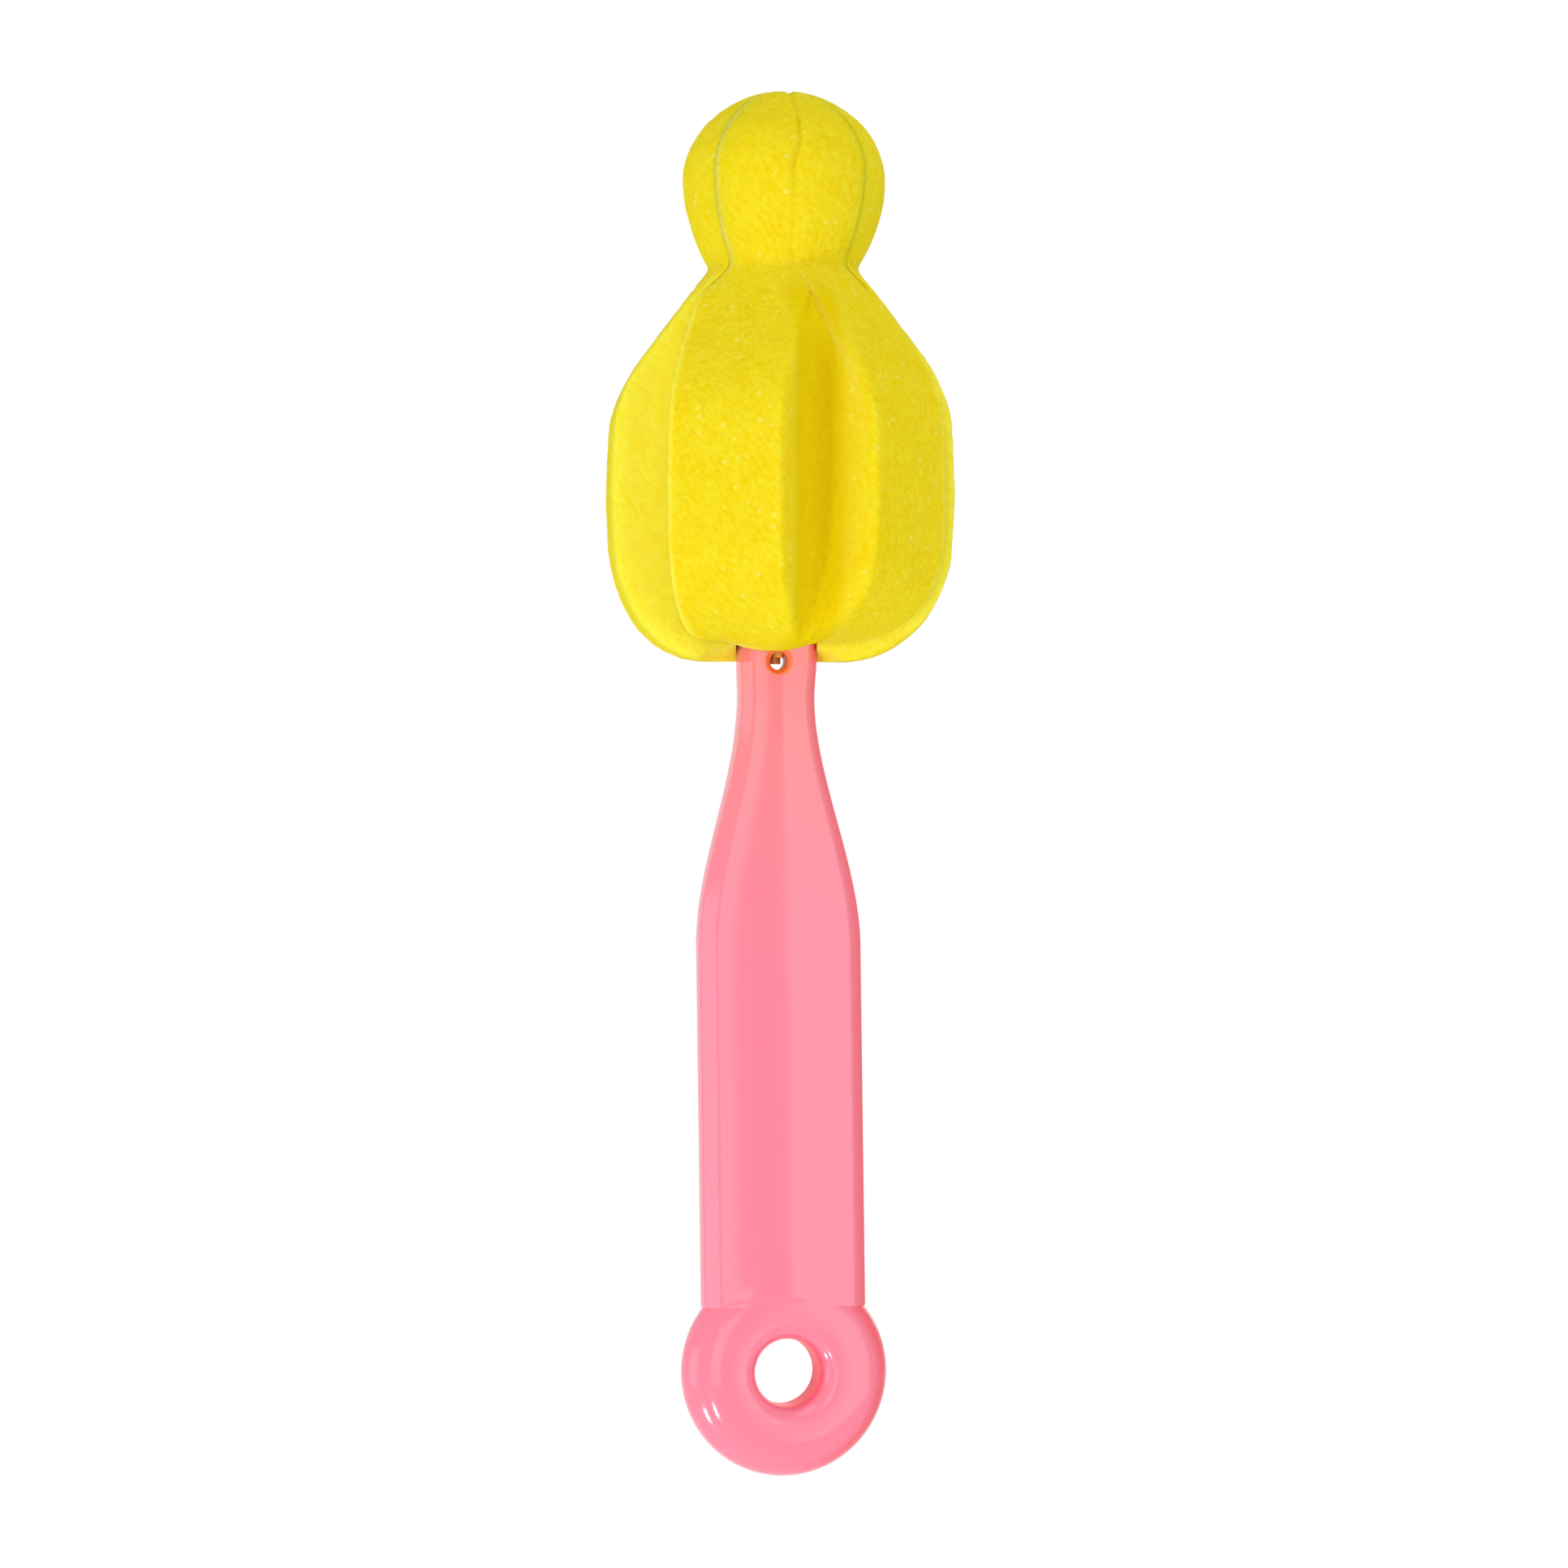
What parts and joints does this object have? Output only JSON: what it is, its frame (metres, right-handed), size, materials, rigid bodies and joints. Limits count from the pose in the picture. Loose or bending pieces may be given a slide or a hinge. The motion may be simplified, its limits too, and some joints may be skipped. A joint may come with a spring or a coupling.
{
  "type": "bottle brush",
  "caption": "Small brush for bottles and teats: a flat moulded handle with a hanging ring, and a lobed foam head with a round bulb over a wider body, pinched along its axis by a bent wire.",
  "frame": {"origin": "centre of the hanging hole in the handle's ring", "axes": "+Z along the handle towards the foam head, -Y out of the handle's front face, X across the handle"},
  "size_m": [0.0434, 0.042, 0.1702],
  "materials": {
    "pink_plastic": "moulded polypropylene, glossy, slightly translucent",
    "bright_wire": "drawn stainless wire",
    "yellow_foam": "open cell polyurethane foam, matte, fine pores"
  },
  "bodies": {
    "root": {"handle": "pink_plastic", "wire_hairpin": "bright_wire", "front_foam": "yellow_foam", "middle_foam": "yellow_foam", "back_foam": "yellow_foam"}
  },
  "joints": []
}
